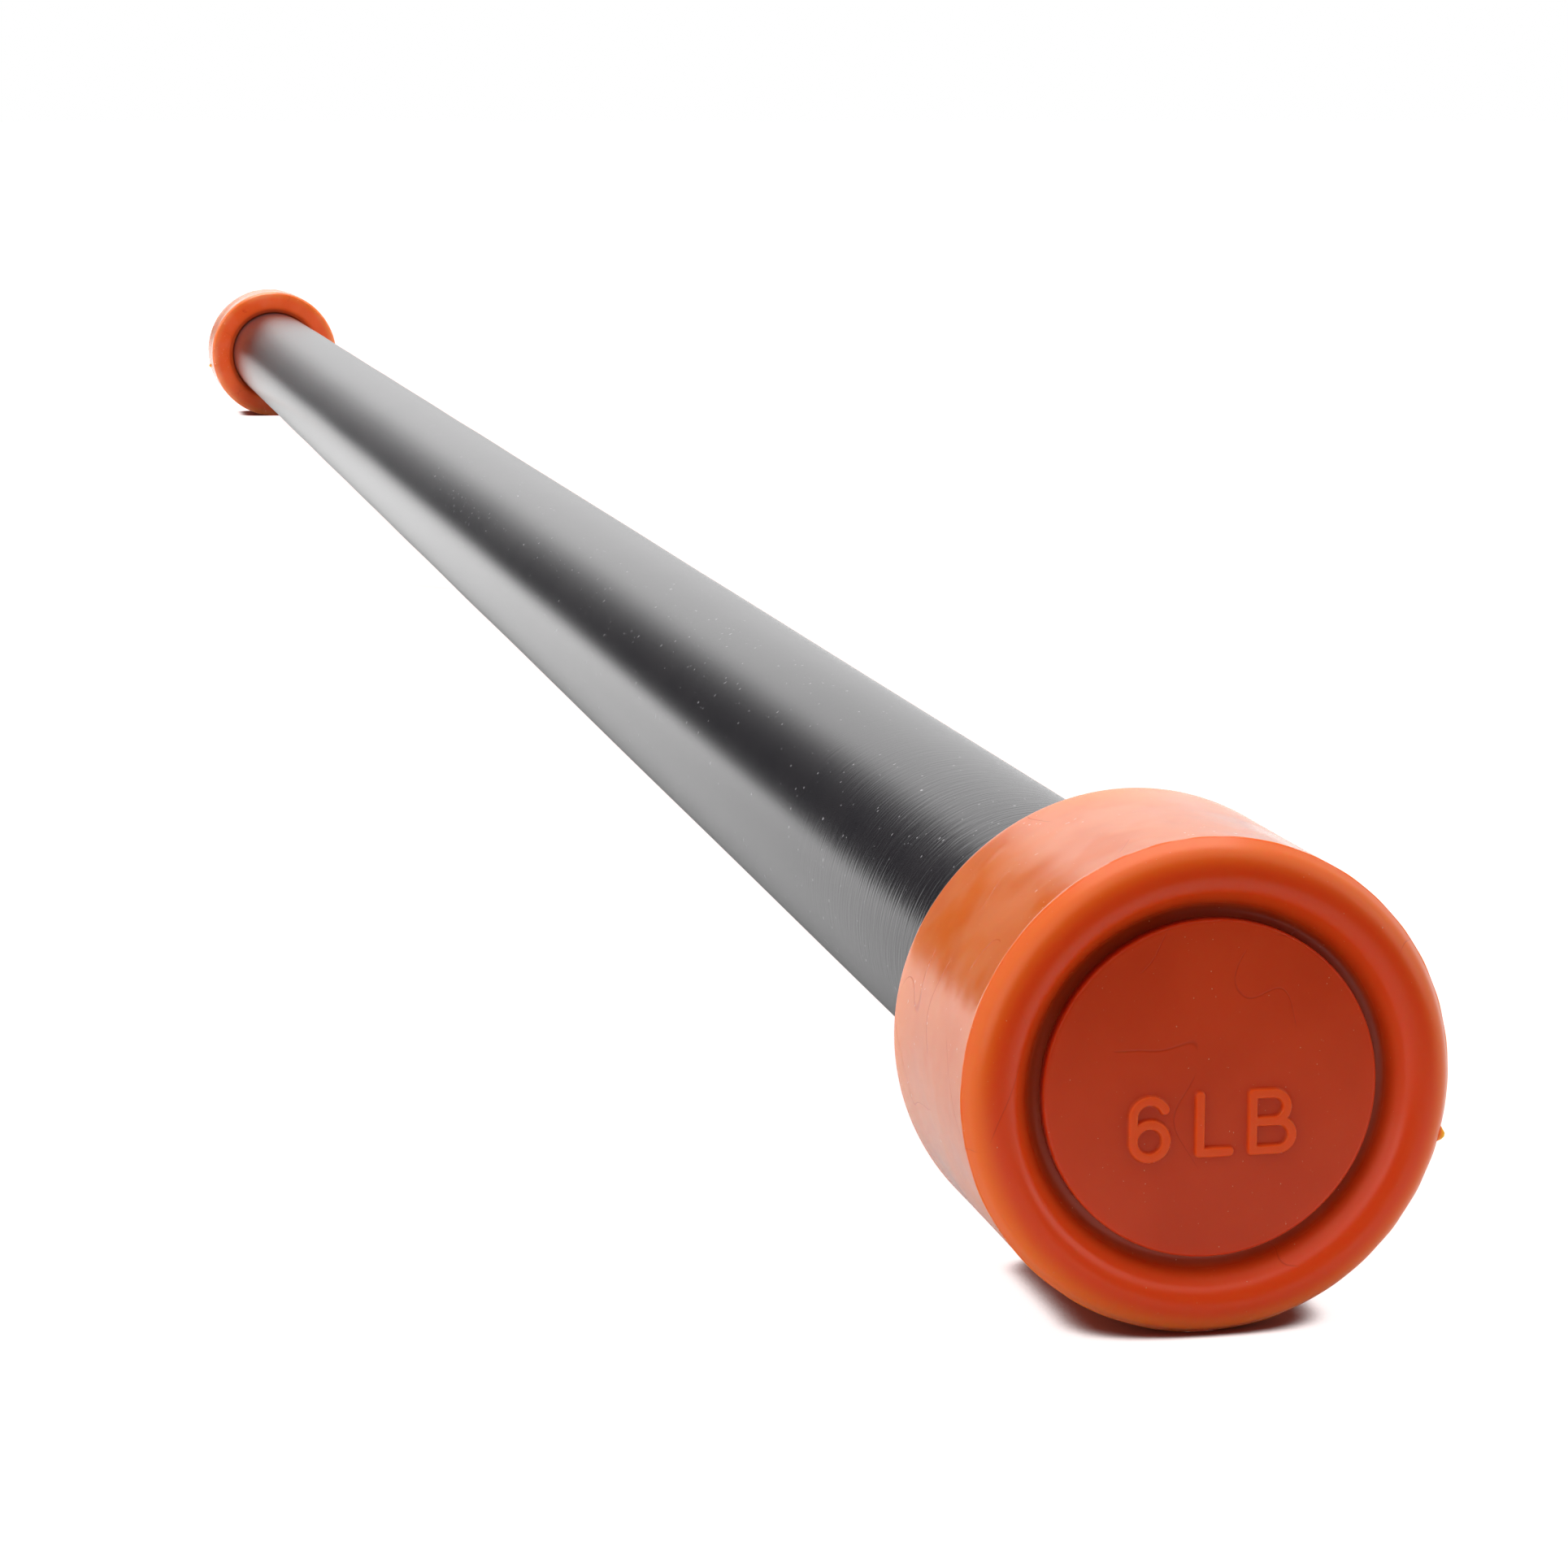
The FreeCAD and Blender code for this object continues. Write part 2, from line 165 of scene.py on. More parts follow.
# ---------------------------------------------------------------------------------------------
# Node helpers
# ---------------------------------------------------------------------------------------------

def new_material(name):
    """A material with its Principled shader and its node tree."""
    material = bpy.data.materials.new(name)
    material.use_nodes = True
    tree = material.node_tree
    return material, tree, tree.nodes["Principled BSDF"]


def coordinates(tree, scale=(1, 1, 1), shift=(0, 0, 0)):
    """Object coordinates in metres, stretched by a scale for each axis and then shifted."""
    source = tree.nodes.new("ShaderNodeTexCoord")
    mapping = tree.nodes.new("ShaderNodeMapping")
    mapping.inputs["Location"].default_value = shift
    mapping.inputs["Scale"].default_value = scale
    tree.links.new(source.outputs["Object"], mapping.inputs["Vector"])
    return mapping.outputs["Vector"]


def noise(tree, vector, scale, detail=3.0, roughness=0.5, distortion=0.0):
    """Noise texture value, 0 to 1."""
    node = tree.nodes.new("ShaderNodeTexNoise")
    node.inputs["Scale"].default_value = scale
    node.inputs["Detail"].default_value = detail
    node.inputs["Roughness"].default_value = roughness
    node.inputs["Distortion"].default_value = distortion
    tree.links.new(vector, node.inputs["Vector"])
    return node.outputs["Fac"]


def ramp(tree, value, low, high, out_low=0.0, out_high=1.0):
    """Value rescaled smoothly from low..high to out_low..out_high, and held there outside it."""
    node = tree.nodes.new("ShaderNodeMapRange")
    node.interpolation_type = "SMOOTHSTEP"
    node.inputs["From Min"].default_value = low
    node.inputs["From Max"].default_value = high
    node.inputs["To Min"].default_value = out_low
    node.inputs["To Max"].default_value = out_high
    tree.links.new(value, node.inputs["Value"])
    return node.outputs["Result"]


def maths(tree, operation, first, second):
    """One maths node; each input is a socket or a number."""
    node = tree.nodes.new("ShaderNodeMath")
    node.operation = operation
    for socket, value in zip(node.inputs, (first, second)):
        if isinstance(value, (int, float)):
            socket.default_value = value
        else:
            tree.links.new(value, socket)
    return node.outputs["Value"]


def times(tree, first, second):
    """Product of two sockets or numbers."""
    return maths(tree, "MULTIPLY", first, second)


def mix_colour(tree, factor, first, second):
    """Mix of two colours, each a socket or three numbers, by a socket."""
    node = tree.nodes.new("ShaderNodeMix")
    node.data_type = "RGBA"
    tree.links.new(factor, node.inputs["Factor"])
    for socket, value in ((node.inputs["A"], first), (node.inputs["B"], second)):
        if isinstance(value, (tuple, list)):
            socket.default_value = (*value, 1.0)
        else:
            tree.links.new(value, socket)
    return node.outputs["Result"]


def bump(tree, height, strength, distance, under=None):
    """Bump normal from a height, on top of another bump if given."""
    node = tree.nodes.new("ShaderNodeBump")
    node.inputs["Strength"].default_value = strength
    node.inputs["Distance"].default_value = distance
    tree.links.new(height, node.inputs["Height"])
    if under is not None:
        tree.links.new(under, node.inputs["Normal"])
    return node.outputs["Normal"]


def object_axes(tree):
    """The object coordinates X, Y and Z in metres, as three sockets."""
    source = tree.nodes.new("ShaderNodeTexCoord")
    split = tree.nodes.new("ShaderNodeSeparateXYZ")
    tree.links.new(source.outputs["Object"], split.inputs["Vector"])
    return split.outputs["X"], split.outputs["Y"], split.outputs["Z"]


def hairlines(tree, scale, width, seed_shift, cover_scale, cover_low):
    """Long curved hairline scratches: 1 on a line, 0 away from it."""
    moved = coordinates(tree, shift=seed_shift)
    path = noise(tree, moved, scale, detail=1, distortion=0.3)
    away = maths(tree, "ABSOLUTE", maths(tree, "SUBTRACT", path, 0.5), 0.0)
    line = ramp(tree, away, 0.0, width, 1.0, 0.0)
    cover = ramp(tree, noise(tree, moved, cover_scale, detail=0), cover_low, cover_low + 0.05)
    return times(tree, line, cover)


# ---------------------------------------------------------------------------------------------
# Materials; colours are linear red, green and blue, and a pair is the two ends of a mix
# ---------------------------------------------------------------------------------------------

VINYL_DISC = (0.68, 0.058, 0.007), (0.73, 0.068, 0.010)
# The side's paler, yellower orange is painted light and painted reflection of the white
# surroundings; its two shades, mixed by a cloud, are the vinyl's own uneven tone.
VINYL_SIDE_PAINTED_LIGHT = (0.66, 0.140, 0.026), (0.72, 0.180, 0.042)
# The rim is painted brighter than the disc: painted light where the side light falls on it.
VINYL_RIM_PAINTED_LIGHT = (0.84, 0.076, 0.008)
# The groove round the disc is painted dark red: painted shade in the recess under the rim.
VINYL_GROOVE_PAINTED_SHADE = (0.34, 0.003, 0.001)
# The outer shoulder of the rim is painted brighter and yellower still: painted light from above and
# the sides.
VINYL_SHOULDER_PAINTED_LIGHT = (0.86, 0.150, 0.007)
# The raised letter tops are painted lighter: a painted highlight where they catch the side light.
VINYL_MARK_PAINTED_HIGHLIGHT = (0.90, 0.102, 0.011)
# Pale pinkish patches on the side: a painted reflection of the white surroundings at grazing
# angles.
VINYL_PAINTED_REFLECTION = (0.80, 0.42, 0.30)
# The thin flash ridge on the parting line is painted bright yellow-orange: a painted highlight, the
# thin bright line where it catches light.
VINYL_FLASH_PAINTED_HIGHLIGHT = (0.95, 0.25, 0.02)
VINYL_SPECK = (0.85, 0.40, 0.24)
VINYL_NICK = (0.85, 0.42, 0.26)
VINYL_SCRATCH = (0.45, 0.030, 0.006)
FOAM_SKIN = (0.016, 0.015, 0.018), (0.022, 0.020, 0.023)
FOAM_LINT = (0.30, 0.29, 0.30)
STEEL = (0.50, 0.50, 0.51), (0.62, 0.62, 0.63)
GRIT = (0.10, 0.085, 0.075), (0.22, 0.20, 0.19)
PLUG = (0.018, 0.018, 0.019), (0.03, 0.03, 0.03)

def cap_zones(tree):
    """Masks from 0 to 1 for the parts of a cap, by distance along the bar and from its axis."""
    x, y, z = object_axes(tree)
    reach = maths(tree, "ABSOLUTE", x, 0.0)
    radius = maths(tree, "SQRT", maths(tree, "ADD", times(tree, y, y), times(tree, z, z)), 0.0)
    rim = times(tree, ramp(tree, radius, 17.0 * MM, 18.8 * MM),
                ramp(tree, reach, PARTING_X - 3.0 * MM, PARTING_X))
    return {
        "side": times(tree, ramp(tree, reach, PARTING_X + 0.3 * MM, PARTING_X - 0.6 * MM),
                      ramp(tree, radius, 20.5 * MM, 22.6 * MM, 0.35, 1.0)),
        "rim": rim,
        "shoulder": times(tree, ramp(tree, radius, 20.4 * MM, 22.4 * MM), rim),
        # Where the groove's painted shade goes.
        "groove": times(tree, ramp(tree, radius, 17.3 * MM, 16.6 * MM),
                        ramp(tree, reach, DISC_X - 0.2 * MM, DISC_X - 1.2 * MM)),
        # Tops of the raised letters, which carry a painted highlight.
        "mark": times(tree, ramp(tree, radius, 12 * MM, 11 * MM),
                      ramp(tree, reach, DISC_X + 0.12 * MM, DISC_X + 0.38 * MM)),
        # The flash ridge, which carries a painted highlight.
        "flash": ramp(tree, radius, CAP_R + 0.06 * MM, CAP_R + 0.2 * MM),
    }


def make_vinyl():
    """Soft satin orange vinyl: deep on the disc; brighter on the rim, shoulder, flash and raised
    letter tops, which is painted light; darker in the groove, which is painted shade; paler and
    cloudy on the side, which is painted light and painted reflection.
    """
    material, tree, shader = new_material("orange_vinyl")
    zone = cap_zones(tree)
    side = zone["side"]
    even = coordinates(tree)
    cloud = noise(tree, even, 75, detail=3, distortion=0.15)
    grain = noise(tree, even, 1400, detail=2)
    specks = ramp(tree, noise(tree, even, 5200, detail=0), 0.875, 0.895)
    # Pale patches on the side, a painted reflection.
    painted_reflection = times(tree, ramp(tree, noise(tree, even, 100, detail=2), 0.45, 0.58), side)
    nicks = times(tree, ramp(tree, noise(tree, even, 1500, detail=1), 0.72, 0.75),
                  ramp(tree, noise(tree, even, 130, detail=0), 0.56, 0.62))
    scratches = hairlines(tree, 60, 0.0030, (3.1, 0.7083, 0.2124), 110, 0.54)

    front = mix_colour(tree, ramp(tree, cloud, 0.35, 0.68), *VINYL_DISC)
    # Over the disc's own orange: the rim and shoulder are painted brighter as painted light, and
    # the groove darker as painted shade.
    for mask, tint in ((zone["rim"], VINYL_RIM_PAINTED_LIGHT),
                       # The groove is painted darker: painted shade.
                       (times(tree, zone["groove"], 0.75), VINYL_GROOVE_PAINTED_SHADE),
                       (zone["shoulder"], VINYL_SHOULDER_PAINTED_LIGHT)):
        front = mix_colour(tree, mask, front, tint)
    # The side is painted paler and yellower than the disc: painted light and painted reflection.
    back = mix_colour(tree, ramp(tree, cloud, 0.40, 0.62), *VINYL_SIDE_PAINTED_LIGHT)
    colour = mix_colour(tree, side, front, back)
    # The raised letter tops are painted lighter: a painted highlight.
    for mask, tint in ((zone["mark"], VINYL_MARK_PAINTED_HIGHLIGHT),
                       # The pale patches on the side are a painted reflection.
                       (times(tree, painted_reflection, 0.12), VINYL_PAINTED_REFLECTION),
                       # The flash ridge is painted bright: a painted highlight.
                       (zone["flash"], VINYL_FLASH_PAINTED_HIGHLIGHT),
                       (specks, VINYL_SPECK),
                       (times(tree, nicks, side), VINYL_NICK),
                       (times(tree, scratches, 0.4), VINYL_SCRATCH)):
        colour = mix_colour(tree, mask, colour, tint)
    tree.links.new(colour, shader.inputs["Base Color"])

    smoother = times(tree, ramp(tree, cloud, 0.42, 0.60, -0.16, -0.06), side)
    tree.links.new(maths(tree, "ADD", smoother, 0.28), shader.inputs["Roughness"])
    shinier = times(tree, ramp(tree, cloud, 0.42, 0.60, 0.12, 0.52), side)
    tree.links.new(maths(tree, "ADD", shinier, 0.5), shader.inputs["Specular IOR Level"])
    shader.inputs["IOR"].default_value = 1.36
    shader.inputs["Subsurface Weight"].default_value = 0.8
    shader.inputs["Subsurface Radius"].default_value = (1.0, 0.35, 0.12)
    shader.inputs["Subsurface Scale"].default_value = 0.0018

    swell = times(tree, maths(tree, "SUBTRACT", cloud, 0.5), ramp(tree, side, 0.0, 1.0, 0.09, 1.0))
    normal = bump(tree, swell, 0.70, 0.0003)
    normal = bump(tree, grain, 0.10, 0.00002, normal)
    normal = bump(tree, times(tree, scratches, -1.0), 0.5, 0.00003, normal)
    tree.links.new(normal, shader.inputs["Normal"])
    return material


def make_foam():
    """Smooth-skinned black foam: lint, faint rings, and creases round it near both caps.

    The skin is a little duller toward the right-hand cap.
    """
    material, tree, shader = new_material("black_foam")
    x = object_axes(tree)[0]
    even = coordinates(tree)
    patches = noise(tree, even, 60, detail=4)
    grain = noise(tree, even, 2200, detail=2)
    lint = ramp(tree, noise(tree, even, 1500, detail=0), 0.82, 0.84)
    rings = noise(tree, coordinates(tree, (2600, 60, 60)), 1.0, detail=2)
    creases = noise(tree, coordinates(tree, (1500, 210, 210)), 1.0, detail=2)
    near_cap = ramp(tree, maths(tree, "ABSOLUTE", x, 0.0), 0.46, 0.575)

    colour = mix_colour(tree, ramp(tree, patches, 0.3, 0.7), *FOAM_SKIN)
    colour = mix_colour(tree, lint, colour, FOAM_LINT)
    tree.links.new(colour, shader.inputs["Base Color"])
    dull = ramp(tree, x, 0.36, 0.58)
    tree.links.new(ramp(tree, dull, 0.0, 1.0, 0.215, 0.23), shader.inputs["Roughness"])
    shine = maths(tree, "SUBTRACT", ramp(tree, dull, 0.0, 1.0, 0.5, 0.38),
                  ramp(tree, x, 0.515, 0.582, 0.0, 0.17))
    tree.links.new(shine, shader.inputs["Specular IOR Level"])
    shader.inputs["IOR"].default_value = 1.47
    shader.inputs["Specular Tint"].default_value = (1.0, 0.955, 0.95, 1.0)
    normal = bump(tree, rings, 0.15, 0.00003)
    normal = bump(tree, times(tree, creases, near_cap), 0.65, 0.00011, normal)
    normal = bump(tree, grain, 0.12, 0.00002, normal)
    tree.links.new(normal, shader.inputs["Normal"])
    return material


def make_steel():
    """Drawn steel tube: fine lines along it and faint grey patches."""
    material, tree, shader = new_material("tube_steel")
    lines = noise(tree, coordinates(tree, (20, 900, 900)), 1.0, detail=3)
    patches = noise(tree, coordinates(tree), 45, detail=4)
    colour = mix_colour(tree, ramp(tree, patches, 0.3, 0.7), *STEEL)
    tree.links.new(colour, shader.inputs["Base Color"])
    tree.links.new(ramp(tree, lines, 0.3, 0.7, 0.28, 0.42), shader.inputs["Roughness"])
    shader.inputs["Metallic"].default_value = 1.0
    tree.links.new(bump(tree, lines, 0.2, 0.00005), shader.inputs["Normal"])
    return material


def make_grit():
    """Packed iron grit: dark grains of a few tenths of a millimetre."""
    material, tree, shader = new_material("iron_grit")
    grains = tree.nodes.new("ShaderNodeTexVoronoi")
    grains.inputs["Scale"].default_value = 2500
    tree.links.new(coordinates(tree), grains.inputs["Vector"])
    colour = mix_colour(tree, ramp(tree, grains.outputs["Distance"], 0.1, 0.7), *GRIT)
    tree.links.new(colour, shader.inputs["Base Color"])
    shader.inputs["Metallic"].default_value = 0.6
    shader.inputs["Roughness"].default_value = 0.7
    tree.links.new(bump(tree, grains.outputs["Distance"], 0.8, 0.0003), shader.inputs["Normal"])
    return material


def make_plug_plastic():
    """Black moulded polyethylene with a waxy grain."""
    material, tree, shader = new_material("plug_plastic")
    grain = noise(tree, coordinates(tree), 900, detail=3)
    colour = mix_colour(tree, ramp(tree, grain, 0.3, 0.7), *PLUG)
    tree.links.new(colour, shader.inputs["Base Color"])
    shader.inputs["Roughness"].default_value = 0.5
    tree.links.new(bump(tree, grain, 0.2, 0.00005), shader.inputs["Normal"])
    return material


# ---------------------------------------------------------------------------------------------
# The raised weight mark on the end disc: plain strokes with round ends, in millimetres
# from the middle of the disc, y to the reader's right and z up
# ---------------------------------------------------------------------------------------------

MARK_RISE = 0.45
MARK_HALF_STROKE = 0.44
MARK_EDGE = 0.10
MARK_TOP, MARK_BASE = -0.55, -5.85
MARK_CELL = 0.09
MARK_LEFT, MARK_RIGHT = -8.9, 8.9
MARK_LOW, MARK_HIGH = -7.5, 0.8
SIX_Y, SIX_LOOP_R = -5.86, 1.57
SIX_BELOW_TOP, SIX_BELOW_BASE = 0.2, 0.28
L_LEFT, L_RIGHT = -1.08, 1.71
B_STEM, B_UPPER_BEND, B_LOWER_BEND = 3.94, 5.91, 6.37
B_WAIST_RISE = 0.04


def to_line(y, z, start, end):
    """Distance from each point to a straight stroke."""
    along = np.array(end) - np.array(start)
    share = ((y - start[0]) * along[0] + (z - start[1]) * along[1]) / (along @ along)
    share = np.clip(share, 0, 1)
    return np.hypot(y - start[0] - share * along[0], z - start[1] - share * along[1])


def to_arc(y, z, centre, radius, start, end):
    """Distance from each point to an arc that runs anticlockwise from start to end, in degrees."""
    turn = (np.degrees(np.arctan2(z - centre[1], y - centre[0])) - start) % 360
    inside = np.abs(np.hypot(y - centre[0], z - centre[1]) - radius)
    ends = [np.hypot(y - centre[0] - radius * math.cos(math.radians(a)),
                     z - centre[1] - radius * math.sin(math.radians(a))) for a in (start, end)]
    return np.where(turn <= end - start, inside, np.minimum(*ends))


def mark_height(y, z):
    """Height of the raised mark above the disc, in millimetres."""
    top, base = MARK_TOP, MARK_BASE
    waist = (top + base) / 2 + B_WAIST_RISE
    loop_z = base - SIX_BELOW_BASE + SIX_LOOP_R
    hook_z = top - SIX_BELOW_TOP - SIX_LOOP_R
    strokes = [
        to_arc(y, z, (SIX_Y, loop_z), SIX_LOOP_R, 0, 360),
        to_line(y, z, (SIX_Y - SIX_LOOP_R, loop_z), (SIX_Y - SIX_LOOP_R, hook_z)),
        to_arc(y, z, (SIX_Y, hook_z), SIX_LOOP_R, 25, 180),
        to_line(y, z, (L_LEFT, top), (L_LEFT, base)),
        to_line(y, z, (L_LEFT, base), (L_RIGHT, base)),
        to_line(y, z, (B_STEM, top), (B_STEM, base)),
    ]
    for bend, upper, lower in ((B_UPPER_BEND, top, waist), (B_LOWER_BEND, waist, base)):
        strokes += [to_line(y, z, (B_STEM, upper), (bend, upper)),
                    to_line(y, z, (B_STEM, lower), (bend, lower)),
                    to_arc(y, z, (bend, (upper + lower) / 2), (upper - lower) / 2, -90, 90)]
    distance = np.minimum.reduce(strokes)
    share = np.clip((MARK_HALF_STROKE + MARK_EDGE - distance) / (2 * MARK_EDGE), 0, 1)
    return MARK_RISE * share * share * (3 - 2 * share)


# ---------------------------------------------------------------------------------------------
# End caps
# ---------------------------------------------------------------------------------------------

def cap_outline():
    """The cap's half section from the flat of the disc round to the middle of the inner seat.

    Returns the points and the index of the one on the parting line.
    """
    rise, drop = CREST_X - PARTING_X, CAP_R - CREST_R
    sine, cosine = math.sin(SHOULDER_SLOPE), math.cos(SHOULDER_SLOPE)
    scale = cosine ** 2 - sine * (1 - sine)
    flat = (rise * cosine - drop * (1 - sine)) / scale
    outer_round = (drop * cosine - rise * sine) / scale

    height, width = CREST_X - GROOVE_X, CREST_R - GROOVE_R
    rounds = CREST_ROUND + GROOVE_ROUND
    wall = math.sqrt(width ** 2 + (rounds - height) ** 2 - rounds ** 2)
    lean = math.atan2(rounds, wall) - math.atan2(rounds - height, width)

    quarter = math.pi / 2
    disc_edge = arc_points((DISC_X - DISC_ROUND, DISC_R - DISC_ROUND), DISC_ROUND, 0, quarter, 6)
    groove = arc_points((GROOVE_X + GROOVE_ROUND, GROOVE_R), GROOVE_ROUND,
                        math.pi, math.pi - lean, 9)
    inner_crest = arc_points((CREST_X - CREST_ROUND, CREST_R), CREST_ROUND, -lean, 0, 15)
    outer_crest = arc_points((CREST_X - outer_round, CREST_R), outer_round,
                             0, quarter - SHOULDER_SLOPE, 24)
    parting = (PARTING_X, CAP_R)
    mouth = arc_points((MOUTH_X + MOUTH_ROUND, CAP_R - MOUTH_ROUND), MOUTH_ROUND,
                       quarter, 2 * quarter, 9)

    front = [(DISC_X, DISC_R - DISC_RINGS[0]), (DISC_X, DISC_R - DISC_RINGS[1])]
    front += line_points((DISC_X, DISC_R - DISC_RINGS[2]), disc_edge[0], 3)
    front += disc_edge
    front += line_points(disc_edge[-1], (GROOVE_X, DISC_R), 5)
    front += line_points((GROOVE_X, DISC_R), (GROOVE_X, GROOVE_R), 4)
    front += groove
    front += line_points(groove[-1], inner_crest[0], 9)
    front += inner_crest + outer_crest
    front += line_points(outer_crest[-1], (PARTING_X + PARTING_STEP, CAP_R - PARTING_DROP), 7)
    front = without_repeats(front)
    back = [parting, (PARTING_X - PARTING_STEP, CAP_R)]
    back += line_points((PARTING_X - PARTING_RUN, CAP_R), mouth[0], 46)
    back += mouth
    back += line_points(mouth[-1], (MOUTH_X, FOAM_R + MOUTH_LEAD), 4)
    back += line_points((MOUTH_X + MOUTH_LEAD, FOAM_R), (SEAT_X, FOAM_R), 6)
    back += [(SEAT_X, FOAM_R * 0.5)]
    return without_repeats(front + back), len(front)


FLASH_HEIGHT, FLASH_UNEVEN, FLASH_LEAST = 0.035, 0.02, 0.008
NIB_ANGLE = math.radians(-14)
NIB_HEIGHT, NIB_HALF_WIDTH = 0.62, 0.70


def flash_height(angle, seed):
    """Height of the thin ridge of flash on the parting line, with one torn nib.

    The sizes above it are in millimetres.
    """
    ridge = FLASH_HEIGHT + FLASH_UNEVEN * ripple(0, angle, waves(seed, 9, 2, 40))
    away = np.abs((angle - NIB_ANGLE + math.pi) % (2 * math.pi) - math.pi) * CAP_R / MM
    nib = NIB_HEIGHT * np.clip(1 - (away / NIB_HALF_WIDTH) ** 2, 0, 1)
    return (np.clip(ridge, FLASH_LEAST, None) + nib) * MM


def fill_disc(work, ring):
    """Closes the front of the cap with the disc's face, which carries the raised mark."""
    columns = np.arange(MARK_LEFT, MARK_RIGHT + MARK_CELL / 2, MARK_CELL)
    rows = np.arange(MARK_LOW, MARK_HIGH + MARK_CELL / 2, MARK_CELL)
    y, z = np.meshgrid(columns, rows, indexing="ij")
    height = mark_height(y, z)
    grid = [[work.verts.new((DISC_X + height[i, j] * MM, y[i, j] * MM, z[i, j] * MM))
             for j in range(len(rows))] for i in range(len(columns))]
    for i in range(len(columns) - 1):
        for j in range(len(rows) - 1):
            work.faces.new((grid[i][j], grid[i + 1][j], grid[i + 1][j + 1], grid[i][j + 1]))
    border = [grid[i][0] for i in range(len(columns))]
    border += [grid[-1][j] for j in range(1, len(rows))]
    border += [grid[i][-1] for i in range(len(columns) - 2, -1, -1)]
    border += [grid[0][j] for j in range(len(rows) - 2, 0, -1)]
    loops = [work.edges.get((a, b)) for a, b in zip(border, border[1:] + border[:1])]
    loops += [work.edges.get((a, b)) for a, b in zip(ring, ring[1:] + ring[:1])]
    bmesh.ops.triangle_fill(work, use_beauty=True, use_dissolve=False, edges=loops)


def make_cap(name, node, side, seed, material):
    """One end cap; side is +1 for the right end and -1 for the left."""
    outline, parting_row = cap_outline()
    rows = len(outline)
    angle = np.linspace(0, 2 * math.pi, CAP_SEGMENTS, endpoint=False)[None, :]
    x = np.repeat(np.array([p[0] for p in outline])[:, None], CAP_SEGMENTS, axis=1)
    radius = np.repeat(np.array([p[1] for p in outline])[:, None], CAP_SEGMENTS, axis=1)

    uneven = ripple(x, angle, waves(seed, 7, 1, 5)) * CAP_UNEVEN
    outside = np.clip((radius - GROOVE_R) / (CREST_R - GROOVE_R), 0, 1)
    radius = radius + uneven * outside
    stretch = np.clip((PARTING_X - x) / (PARTING_X - MOUTH_X), 0, 1)
    radius = radius + CAP_FLARE * stretch ** 2 * (outside > 0.99)
    radius[parting_row] += flash_height(angle[0], seed)

    mesh = rings_to_mesh(name, x, radius, closed=False)
    work = bmesh.new()
    work.from_mesh(mesh)
    work.verts.ensure_lookup_table()
    first = [work.verts[i] for i in range(CAP_SEGMENTS)]
    last = [work.verts[(rows - 1) * CAP_SEGMENTS + i] for i in range(CAP_SEGMENTS)]
    middle = work.verts.new((SEAT_X, 0, 0))
    for a, b in zip(last, last[1:] + last[:1]):
        work.faces.new((a, b, middle))
    fill_disc(work, first)
    for vertex in work.verts:
        vertex.co.x *= side
        vertex.co.y *= side
    work.to_mesh(mesh)
    work.free()
    cap = finish_mesh(name, mesh, material, math.radians(50))
    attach(cap, "root")
    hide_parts(node)
    return cap


# ---------------------------------------------------------------------------------------------
# Foam sleeve
# ---------------------------------------------------------------------------------------------

def make_foam_sleeve(material):
    """Foam tube, very slightly uneven along its length."""
    outer = [(x, FOAM_R) for x in np.linspace(-FOAM_END, FOAM_END, FOAM_RINGS)]
    inner = [(x, TUBE_R + FOAM_BORE_GAP) for x in np.linspace(FOAM_END, -FOAM_END, 5)]
    outline = outer + inner
    angle = np.linspace(0, 2 * math.pi, FOAM_SEGMENTS, endpoint=False)[None, :]
    x = np.repeat(np.array([p[0] for p in outline])[:, None], FOAM_SEGMENTS, axis=1)
    radius = np.repeat(np.array([p[1] for p in outline])[:, None], FOAM_SEGMENTS, axis=1)
    grip = np.clip((MOUTH_X - 2 * MM - np.abs(x)) / (12 * MM), 0, 1) * (radius > TUBE_R + MM)
    radius = radius + ripple(x, angle, waves(11, 10, 0, 4)) * FOAM_UNEVEN * grip
    mesh = rings_to_mesh("foam_sleeve_piece", x, radius, closed=True)
    foam = finish_mesh("foam_sleeve_piece", mesh, material, math.radians(40))
    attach(foam, "root")
    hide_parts("foam_sleeve")
    return foam


# ---------------------------------------------------------------------------------------------
# Stage, light and camera
# ---------------------------------------------------------------------------------------------

SKY_BRIGHT = 1.10
SKY_SIDES = 0.86
SKY_RING = 1.98
SKY_CAMERA_SIDE = 0.06
SKY_ABOVE_CUT = 0.27
# How dark the floor is in front of the right-hand cap to every ray but the camera's: painted shade.
FLOOR_FRONT_PAINTED_SHADE = 0.05
FLOOR_PALE = 0.73
# Base colour the camera sees on the floor: dark reddish, it shows only where the glow is cut, as a
# painted contact shadow tinted like orange bounce light.
FLOOR_PAINTED_SHADOW_TINT = (0.34, 0.10, 0.065)
FLOOR_GLOW = 0.975
CAMERA_PLACE = (14.684, -4.640, 3.761)
CAMERA_DOWN, CAMERA_TURN = math.radians(9.43), math.radians(78.73)
CAMERA_LENS = 91.73


